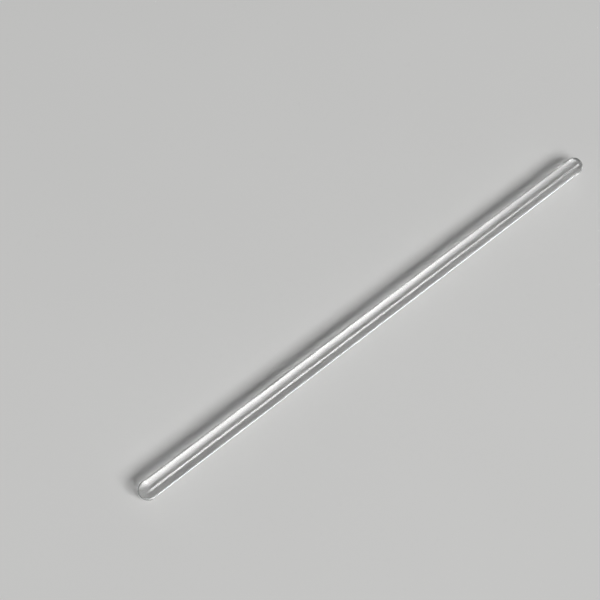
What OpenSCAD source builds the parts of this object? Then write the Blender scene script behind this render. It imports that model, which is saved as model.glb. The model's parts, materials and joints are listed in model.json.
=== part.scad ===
// Solid glass stirring rod: a straight drawn shaft whose two cut ends were melted round.
// The rod lies along X, with the origin on its axis at mid-length and +Z up. Millimetres.

/* [Shaft] */
// Overall length of the rod, tip to tip
rod_length = 200; // [100:5:400]
// Diameter of the drawn shaft
shaft_diameter = 6; // [4:0.5:12]

/* [Melted ends] */
// How much wider a melted end is than the shaft, across its diameter
end_swell = 0.24; // [0.06:0.02:0.6]
// Length of the hollow neck that eases a melted end into the shaft, measured from the end's centre
neck_length = 1.8; // [1.2:0.1:4]

/* [Hidden] */
$fn = 96;

glass_tint = [0.90, 0.94, 0.95];
glass_alpha = 0.35;

shaft_r = shaft_diameter / 2;
bead_r = shaft_r + end_swell / 2;

// The neck's arc touches both the bead and the shaft. Its centre stands neck_length along the axis
// and shaft_r + neck_r off it, and lies bead_r + neck_r from the bead's centre, which sets neck_r.
neck_r = (pow(neck_length, 2) / (bead_r - shaft_r) - (bead_r + shaft_r)) / 2;

// Places on the lengthwise half-section, as [distance from the axis, distance from mid-length]
bead_centre = [0, rod_length / 2 - bead_r];
shaft_end = bead_centre - [0, neck_length];
neck_centre = shaft_end + [shaft_r + neck_r, 0];
past_tip = bead_centre + [0, 2 * bead_r];

// Shaft, from mid-length to the neck
module shaft_section() {
    square([shaft_r, shaft_end.y]);
}

// Neck: the corner between the two centres, with the hollow arc cut away
module neck_section() {
    difference() {
        polygon([shaft_end, neck_centre, bead_centre]);
        translate(neck_centre) circle(r = neck_r);
    }
}

// Bead: the slice of its circle that runs from the neck round to the tip
module bead_section() {
    intersection() {
        translate(bead_centre) circle(r = bead_r);
        polygon([bead_centre, neck_centre, [neck_centre.x, past_tip.y], past_tip]);
    }
}

// The whole rod: both halves of its section, turned about the axis and laid along X
module glass_rod() {
    color(glass_tint, glass_alpha)
        rotate([0, 90, 0])
            rotate_extrude()
                for (side = [0, 1])
                    mirror([0, side]) {
                        shaft_section();
                        neck_section();
                        bead_section();
                    }
}

glass_rod();
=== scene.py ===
# Looks of the glass stirring rod: a clear drawn shaft with both ends melted round, lying on a pale floor.
# Metres, in the part's own frame: the rod along X, the origin on its axis at mid-length, and +Z up.
import json
import math

import bpy
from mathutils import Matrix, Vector


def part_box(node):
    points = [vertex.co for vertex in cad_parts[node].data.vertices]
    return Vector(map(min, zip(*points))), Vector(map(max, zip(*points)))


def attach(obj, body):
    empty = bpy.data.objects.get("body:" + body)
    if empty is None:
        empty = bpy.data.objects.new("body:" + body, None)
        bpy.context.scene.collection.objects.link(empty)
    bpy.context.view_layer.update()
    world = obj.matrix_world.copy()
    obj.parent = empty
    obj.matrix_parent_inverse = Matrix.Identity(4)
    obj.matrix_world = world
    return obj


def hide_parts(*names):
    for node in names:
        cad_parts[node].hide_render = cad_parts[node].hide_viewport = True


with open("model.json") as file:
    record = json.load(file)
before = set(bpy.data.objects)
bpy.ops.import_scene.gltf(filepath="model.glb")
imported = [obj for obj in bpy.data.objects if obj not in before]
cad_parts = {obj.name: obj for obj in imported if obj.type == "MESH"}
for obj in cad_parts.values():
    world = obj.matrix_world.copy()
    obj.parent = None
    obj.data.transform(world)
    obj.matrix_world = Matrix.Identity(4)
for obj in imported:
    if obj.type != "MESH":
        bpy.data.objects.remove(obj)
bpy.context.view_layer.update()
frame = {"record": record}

MM = 0.001

# Sizes of the rod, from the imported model's box and its shaft mount
rod_low, rod_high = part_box("glass_rod")
shaft_mount = next(m for m in frame["record"]["mounts"] if m["name"] == "shaft")
ROD_LENGTH = rod_high.x - rod_low.x
SHAFT_RADIUS = shaft_mount["dims"]["r_mm"] * MM
SHAFT_HALF = shaft_mount["dims"]["length_mm"] * MM / 2
BEAD_RADIUS = min(-rod_low.y, rod_high.y, -rod_low.z, rod_high.z)

# The neck's hollow arc touches the shaft and the bead, which sets its radius and how far it turns
NECK_LENGTH = ROD_LENGTH / 2 - BEAD_RADIUS - SHAFT_HALF
SWELL = BEAD_RADIUS - SHAFT_RADIUS
NECK_RADIUS = (NECK_LENGTH ** 2 / SWELL - (BEAD_RADIUS + SHAFT_RADIUS)) / 2
NECK_TURN = math.asin(NECK_LENGTH / (BEAD_RADIUS + NECK_RADIUS))

# Mesh density: sides round the rod, rings along it, and the shares of the rings between mid-length
# and a tip at which the neck and the bead start
SIDES = 192
RINGS = 241
NECK_FROM = 0.30
BEAD_FROM = 0.42

# Points at a tip that are closer together than this become one
POLE_MERGE = 0.0005 * MM

# Glass: refractive index, and the tint of its body with how fast it deepens
GLASS_IOR = 1.473
GLASS_TINT = (0.80, 0.93, 0.90, 1.0)
TINT_DENSITY = 4.0

# Drawn surface: height of the lengthwise lines and their number in a metre along and across the rod,
# then height of the slow waves as a multiple of the lines' and their number in a metre
LINE_DEPTH = 0.006 * MM
LINES_ALONG = 9.0
LINES_ACROSS = 900.0
WAVES_TO_LINES = 2.0
WAVES_PER_METRE = 90.0

# Traces of handling: number in a metre, the noise at which one starts and is full, and its roughness then
SMUDGES_PER_METRE = 60.0
SMUDGE_START = 0.45
SMUDGE_FULL = 0.8
SMUDGE_ROUGHNESS = 0.03

# Floor: half its width, the two shades of its mottle, and the number of mottles in a metre
FLOOR_HALF = 3.0
FLOOR_DARK = (0.78, 0.78, 0.77, 1.0)
FLOOR_LIGHT = (0.82, 0.82, 0.81, 1.0)
MOTTLES_PER_METRE = 9.0

# Camera: the photograph's angle and framing
CAMERA_LENS = 100.08
CAMERA_SENSOR = 36.0
CAMERA_AZIMUTH = math.radians(-43.82)
CAMERA_ELEVATION = math.radians(49.754)
CAMERA_TARGET = Vector((-13.70, 21.98, 0.0)) * MM
CAMERA_DISTANCE = 539.71 * MM

# Picture: exposure in stops, and the most times that light is followed from one surface to the next
EXPOSURE = 2.0
GLASS_BOUNCES = 64

# Soft fill from all round, as a shade of grey
ROOM_GREY = 0.018

# Key light: bearing round the rod in degrees, place along X, distance from the rod's axis, size, and watts
KEY_BEARING = 34.0
KEY_X = -1.0
KEY_REACH = 7.8
KEY_WIDTH = 5.4
KEY_HEIGHT = 2.25
KEY_POWER = 183.0

# Glowing cards that the glass mirrors: distance from the rod's axis, brightness at each bearing round it,
# and the share of that at each place along X
CARD_REACH = 1.1
BACK_GLOWS = {80: 0.0, 84: 0.36, 97: 1.1, 110: 2.0, 124: 2.9, 140: 3.4, 157: 3.3, 180: 2.9}
FRONT_GLOWS = {30: 0.0, 34: 4.0, 39: 4.0, 44: 4.0, 49: 4.0, 55: 0.0}
CARD_SHARES = {
    -2.2: 0.0, -1.0: 0.25, -0.4: 0.4, -0.1: 0.8, 0.2: 1.0,
    0.6: 0.93, 0.93: 0.33, 1.0: 0.08, 2.2: 0.0,
}

# Far strip that shows through the rod's lower edge, set out in the same way
STRIP_REACH = 5.0
STRIP_GLOWS = {163.6: 0.74, 176.4: 0.74}
STRIP_SHARES = {0.9: 0.0, 1.5: 1.0, 4.0: 1.0, 6.0: 0.0}


# Node helpers

def add_node(tree, kind, feeds=(), **settings):
    """Adds a node, sets its properties, and feeds its inputs by name or number from sockets or values."""
    node = tree.nodes.new(kind)
    for name, value in settings.items():
        setattr(node, name, value)
    for key, value in dict(feeds).items():
        if isinstance(value, bpy.types.NodeSocket):
            tree.links.new(value, node.inputs[key])
        else:
            node.inputs[key].default_value = value
    return node


def calc(tree, operation, first, second=0.0):
    """One step of arithmetic, given back as the socket that holds its result."""
    return add_node(tree, "ShaderNodeMath", {0: first, 1: second}, operation=operation).outputs[0]


def stretch(tree, value, start, end, low, high):
    """Maps a value from start..end onto low..high, and holds it there outside."""
    feeds = {"Value": value, "From Min": start, "From Max": end, "To Min": low, "To Max": high}
    return add_node(tree, "ShaderNodeMapRange", feeds, clamp=True).outputs["Result"]


def noise(tree, place, scale, detail, roughness=0.5):
    """Soft unevenness between 0 and 1, with about scale bumps to each unit of place."""
    feeds = {"Vector": place, "Scale": scale, "Detail": detail, "Roughness": roughness}
    return add_node(tree, "ShaderNodeTexNoise", feeds).outputs["Fac"]


# Materials

def new_material(name):
    """A material and its tree of nodes, which is empty."""
    material = bpy.data.materials.new(name)
    material.use_nodes = True
    material.node_tree.nodes.clear()
    return material, material.node_tree


def clear_drawn_glass():
    """Clear glass: faint lengthwise draw lines, a little waviness and the odd trace of handling."""
    material, tree = new_material("clear_drawn_glass")
    place = add_node(tree, "ShaderNodeTexCoord").outputs["Object"]

    # The lines are noise that is drawn out along the rod
    drawn_out = (LINES_ALONG, LINES_ACROSS, LINES_ACROSS)
    lengthwise = add_node(tree, "ShaderNodeMapping", {"Vector": place, "Scale": drawn_out})
    lines = noise(tree, lengthwise.outputs["Vector"], scale=1.0, detail=3.0, roughness=0.55)
    waves = noise(tree, place, scale=WAVES_PER_METRE, detail=1.0)
    surface = calc(tree, "ADD", lines, calc(tree, "MULTIPLY", waves, WAVES_TO_LINES))
    bump = add_node(tree, "ShaderNodeBump", {"Height": surface, "Strength": 1.0, "Distance": LINE_DEPTH})

    smudges = noise(tree, place, scale=SMUDGES_PER_METRE, detail=4.0)
    shader = add_node(tree, "ShaderNodeBsdfPrincipled", {
        "Base Color": (1.0, 1.0, 1.0, 1.0),
        "Roughness": stretch(tree, smudges, SMUDGE_START, SMUDGE_FULL, 0.0, SMUDGE_ROUGHNESS),
        "IOR": GLASS_IOR,
        "Normal": bump.outputs["Normal"],
        "Transmission Weight": 1.0,
    })
    body = add_node(tree, "ShaderNodeVolumeAbsorption", {"Color": GLASS_TINT, "Density": TINT_DENSITY})
    add_node(tree, "ShaderNodeOutputMaterial",
             {"Surface": shader.outputs["BSDF"], "Volume": body.outputs["Volume"]})
    return material


def pale_floor_paint():
    """Matt off-white floor with a barely visible mottle."""
    material, tree = new_material("pale_floor_paint")
    place = add_node(tree, "ShaderNodeTexCoord").outputs["Object"]
    mottle = noise(tree, place, scale=MOTTLES_PER_METRE, detail=5.0)
    shades = {"Factor": mottle, "A": FLOOR_DARK, "B": FLOOR_LIGHT}
    shade = add_node(tree, "ShaderNodeMix", shades, data_type="RGBA")
    shader = add_node(tree, "ShaderNodeBsdfPrincipled", {
        "Base Color": shade.outputs["Result"],
        "Roughness": 1.0,
        "Specular IOR Level": 0.0,
    })
    add_node(tree, "ShaderNodeOutputMaterial", {"Surface": shader.outputs["BSDF"]})
    return material


def card_glow():
    """The light of the cards, which each card's own glow attribute sets."""
    material, tree = new_material("card_glow")
    glow = add_node(tree, "ShaderNodeAttribute", attribute_name="glow")
    light = add_node(tree, "ShaderNodeEmission", {"Strength": glow.outputs["Fac"]})
    add_node(tree, "ShaderNodeOutputMaterial", {"Surface": light.outputs["Emission"]})
    material.cycles.emission_sampling = "NONE"
    return material


# The rod

def rod_tree():
    """Nodes that walk along the rod's outline, from tip to tip, and sweep a circle of its radius there."""
    tree = bpy.data.node_groups.new("melted_end_rod", "GeometryNodeTree")
    face = tree.interface
    face.new_socket("Geometry", in_out="OUTPUT", socket_type="NodeSocketGeometry")
    for name in ("Shaft half length", "Shaft radius", "Neck radius", "Neck turn", "Bead radius"):
        face.new_socket(name, in_out="INPUT", socket_type="NodeSocketFloat")
    for name in ("Rings", "Sides"):
        face.new_socket(name, in_out="INPUT", socket_type="NodeSocketInt")
    face.new_socket("Glass", in_out="INPUT", socket_type="NodeSocketMaterial")
    given = add_node(tree, "NodeGroupInput").outputs

    # How far each ring is from mid-length, from 0 to 1 at a tip, and on which side
    index = add_node(tree, "GeometryNodeInputIndex").outputs[0]
    last_ring = calc(tree, "SUBTRACT", given["Rings"], 1.0)
    tip_to_tip = stretch(tree, index, 0.0, last_ring, -1.0, 1.0)
    side = calc(tree, "SIGN", tip_to_tip)
    out = calc(tree, "ABSOLUTE", tip_to_tip)

    # Straight shaft, then the neck's arc, then the bead's arc round to the tip
    straight = stretch(tree, out, 0.0, NECK_FROM, 0.0, given["Shaft half length"])
    neck_angle = stretch(tree, out, NECK_FROM, BEAD_FROM, 0.0, given["Neck turn"])
    bead_start = calc(tree, "ADD", given["Neck turn"], math.pi / 2)
    bead_angle = stretch(tree, out, BEAD_FROM, 1.0, bead_start, 0.0)

    def arc_part(radius, function, angle, from_angle):
        """How far an arc has gone since from_angle, in the direction that the function gives."""
        step = calc(tree, "SUBTRACT", calc(tree, function, angle), calc(tree, function, from_angle))
        return calc(tree, "MULTIPLY", radius, step)

    neck_along = arc_part(given["Neck radius"], "SINE", neck_angle, 0.0)
    bead_along = arc_part(given["Bead radius"], "COSINE", bead_angle, bead_start)
    along = calc(tree, "ADD", calc(tree, "ADD", straight, neck_along), bead_along)

    # The neck's centre lies outside the glass, so its arc counts the other way
    neck_across = arc_part(given["Neck radius"], "COSINE", neck_angle, 0.0)
    bead_across = arc_part(given["Bead radius"], "SINE", bead_angle, bead_start)
    radius = calc(tree, "ADD", calc(tree, "SUBTRACT", given["Shaft radius"], neck_across), bead_across)

    line = add_node(tree, "GeometryNodeMeshLine", {"Count": given["Rings"]})
    axis = add_node(tree, "GeometryNodeMeshToCurve", {"Mesh": line.outputs["Mesh"]})
    place = add_node(tree, "ShaderNodeCombineXYZ", {"X": calc(tree, "MULTIPLY", side, along)})
    axis = add_node(tree, "GeometryNodeSetPosition",
                    {"Geometry": axis.outputs["Curve"], "Position": place.outputs["Vector"]})
    circle = add_node(tree, "GeometryNodeCurvePrimitiveCircle",
                      {"Resolution": given["Sides"], "Radius": 1.0})
    skin = add_node(tree, "GeometryNodeCurveToMesh", {
        "Curve": axis.outputs["Geometry"],
        "Profile Curve": circle.outputs["Curve"],
        "Scale": radius,
    })
    closed = add_node(tree, "GeometryNodeMergeByDistance",
                      {"Geometry": skin.outputs["Mesh"], "Distance": POLE_MERGE})
    smooth = add_node(tree, "GeometryNodeSetShadeSmooth", {"Geometry": closed.outputs["Geometry"]})
    real = add_node(tree, "GeometryNodeRealizeInstances", {"Geometry": smooth.outputs["Geometry"]})
    glazed = add_node(tree, "GeometryNodeSetMaterial",
                      {"Geometry": real.outputs["Geometry"], "Material": given["Glass"]})
    add_node(tree, "NodeGroupOutput", {"Geometry": glazed.outputs["Geometry"]})
    return tree


def made_by_nodes(name, tree, values):
    """An object whose plain mesh is what the tree makes from these named values."""
    maker = bpy.data.objects.new(name + "_maker", bpy.data.meshes.new(name + "_maker"))
    bpy.context.scene.collection.objects.link(maker)
    modifier = maker.modifiers.new("make", "NODES")
    modifier.node_group = tree
    inputs = [item for item in tree.interface.items_tree if item.in_out == "INPUT"]
    identifiers = {item.name: item.identifier for item in inputs}
    for label, value in values.items():
        modifier[identifiers[label]] = value
    evaluated = maker.evaluated_get(bpy.context.evaluated_depsgraph_get())
    mesh = bpy.data.meshes.new_from_object(evaluated)
    mesh.name = name
    bpy.data.objects.remove(maker)
    piece = bpy.data.objects.new(name, mesh)
    bpy.context.scene.collection.objects.link(piece)
    return piece


def stirring_rod():
    """The whole rod: shaft, necks and beads as one skin of clear glass."""
    return made_by_nodes("stirring_rod", rod_tree(), {
        "Shaft half length": SHAFT_HALF,
        "Shaft radius": SHAFT_RADIUS,
        "Neck radius": NECK_RADIUS,
        "Neck turn": NECK_TURN,
        "Bead radius": BEAD_RADIUS,
        "Rings": RINGS,
        "Sides": SIDES,
        "Glass": clear_drawn_glass(),
    })


# Floor, lights and camera

def pale_floor():
    """A plain floor that the rod's two beads rest on."""
    signs = ((-1, -1), (1, -1), (1, 1), (-1, 1))
    corners = [(x * FLOOR_HALF, y * FLOOR_HALF, -BEAD_RADIUS) for x, y in signs]
    mesh = bpy.data.meshes.new("pale_floor")
    mesh.from_pydata(corners, [], [(0, 1, 2, 3)])
    mesh.materials.append(pale_floor_paint())
    floor = bpy.data.objects.new("pale_floor", mesh)
    bpy.context.scene.collection.objects.link(floor)


def round_the_rod(bearing, x, reach):
    """A place beside the rod's axis: the bearing, in degrees, goes from the near horizon over the top."""
    angle = math.radians(bearing)
    return Vector((x, -reach * math.cos(angle), reach * math.sin(angle)))


def key_softbox():
    """A far-off soft light that faces the middle of the rod, and that the glass doesn't mirror."""
    light = bpy.data.lights.new("key_softbox", "AREA")
    light.shape = "RECTANGLE"
    light.size = KEY_WIDTH
    light.size_y = KEY_HEIGHT
    light.energy = KEY_POWER
    lamp = bpy.data.objects.new("key_softbox", light)
    place = round_the_rod(KEY_BEARING, KEY_X, KEY_REACH)
    lamp.location = place
    lamp.rotation_euler = (-place).to_track_quat("-Z", "Y").to_euler()
    lamp.visible_camera = False
    lamp.visible_glossy = False
    bpy.context.scene.collection.objects.link(lamp)


def dim_room():
    """What surrounds the studio: a little even fill."""
    world = bpy.data.worlds.new("dim_room")
    world.use_nodes = True
    grey = (ROOM_GREY, ROOM_GREY, ROOM_GREY, 1.0)
    world.node_tree.nodes["Background"].inputs["Color"].default_value = grey
    bpy.context.scene.world = world


def glow_card(name, paint, reach, glows, shares, through=False):
    """A glowing card, curved round the rod at a distance, that lights nothing and shows only in the glass.

    glows is its brightness at each bearing, and shares is what share of it each place along X gives.
    It shows as a reflection, or through the glass where through is true.
    """
    places = [round_the_rod(bearing, x, reach) for bearing in glows for x in shares]
    wide = len(shares)
    starts = [row * wide + column for row in range(len(glows) - 1) for column in range(wide - 1)]
    mesh = bpy.data.meshes.new(name)
    mesh.from_pydata(places, [], [(i, i + 1, i + wide + 1, i + wide) for i in starts])
    glow = mesh.attributes.new("glow", "FLOAT", "POINT")
    glow.data.foreach_set("value", [value * share for value in glows.values() for share in shares.values()])
    mesh.materials.append(paint)
    card = bpy.data.objects.new(name, mesh)
    card.visible_camera = False
    card.visible_diffuse = False
    card.visible_shadow = False
    card.visible_glossy = not through
    card.visible_transmission = through
    bpy.context.scene.collection.objects.link(card)


def studio_light():
    """A soft key on the near side, a little fill, and the cards that give the glass its highlights."""
    view = bpy.context.scene.view_settings
    view.view_transform = "Standard"
    view.exposure = EXPOSURE

    # Light that runs the rod's whole length inside the glass turns back from its skin dozens of times
    paths = bpy.context.scene.cycles
    paths.max_bounces = GLASS_BOUNCES
    paths.glossy_bounces = GLASS_BOUNCES
    paths.transmission_bounces = GLASS_BOUNCES

    dim_room()
    key_softbox()
    paint = card_glow()
    glow_card("back_card", paint, CARD_REACH, BACK_GLOWS, CARD_SHARES)
    glow_card("front_card", paint, CARD_REACH, FRONT_GLOWS, CARD_SHARES)
    glow_card("far_strip", paint, STRIP_REACH, STRIP_GLOWS, STRIP_SHARES, through=True)


def photo_camera():
    """The camera at the photograph's viewing angle."""
    camera = bpy.data.objects.new("camera", bpy.data.cameras.new("camera"))
    camera.data.lens = CAMERA_LENS
    camera.data.sensor_width = CAMERA_SENSOR
    back = Vector((
        math.sin(CAMERA_AZIMUTH) * math.cos(CAMERA_ELEVATION),
        -math.cos(CAMERA_AZIMUTH) * math.cos(CAMERA_ELEVATION),
        math.sin(CAMERA_ELEVATION),
    ))
    camera.location = CAMERA_TARGET + back * CAMERA_DISTANCE
    camera.rotation_euler = (-back).to_track_quat("-Z", "Y").to_euler()
    bpy.context.scene.collection.objects.link(camera)
    bpy.context.scene.camera = camera


rod = stirring_rod()
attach(rod, "root")
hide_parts("glass_rod")

pale_floor()
studio_light()
photo_camera()
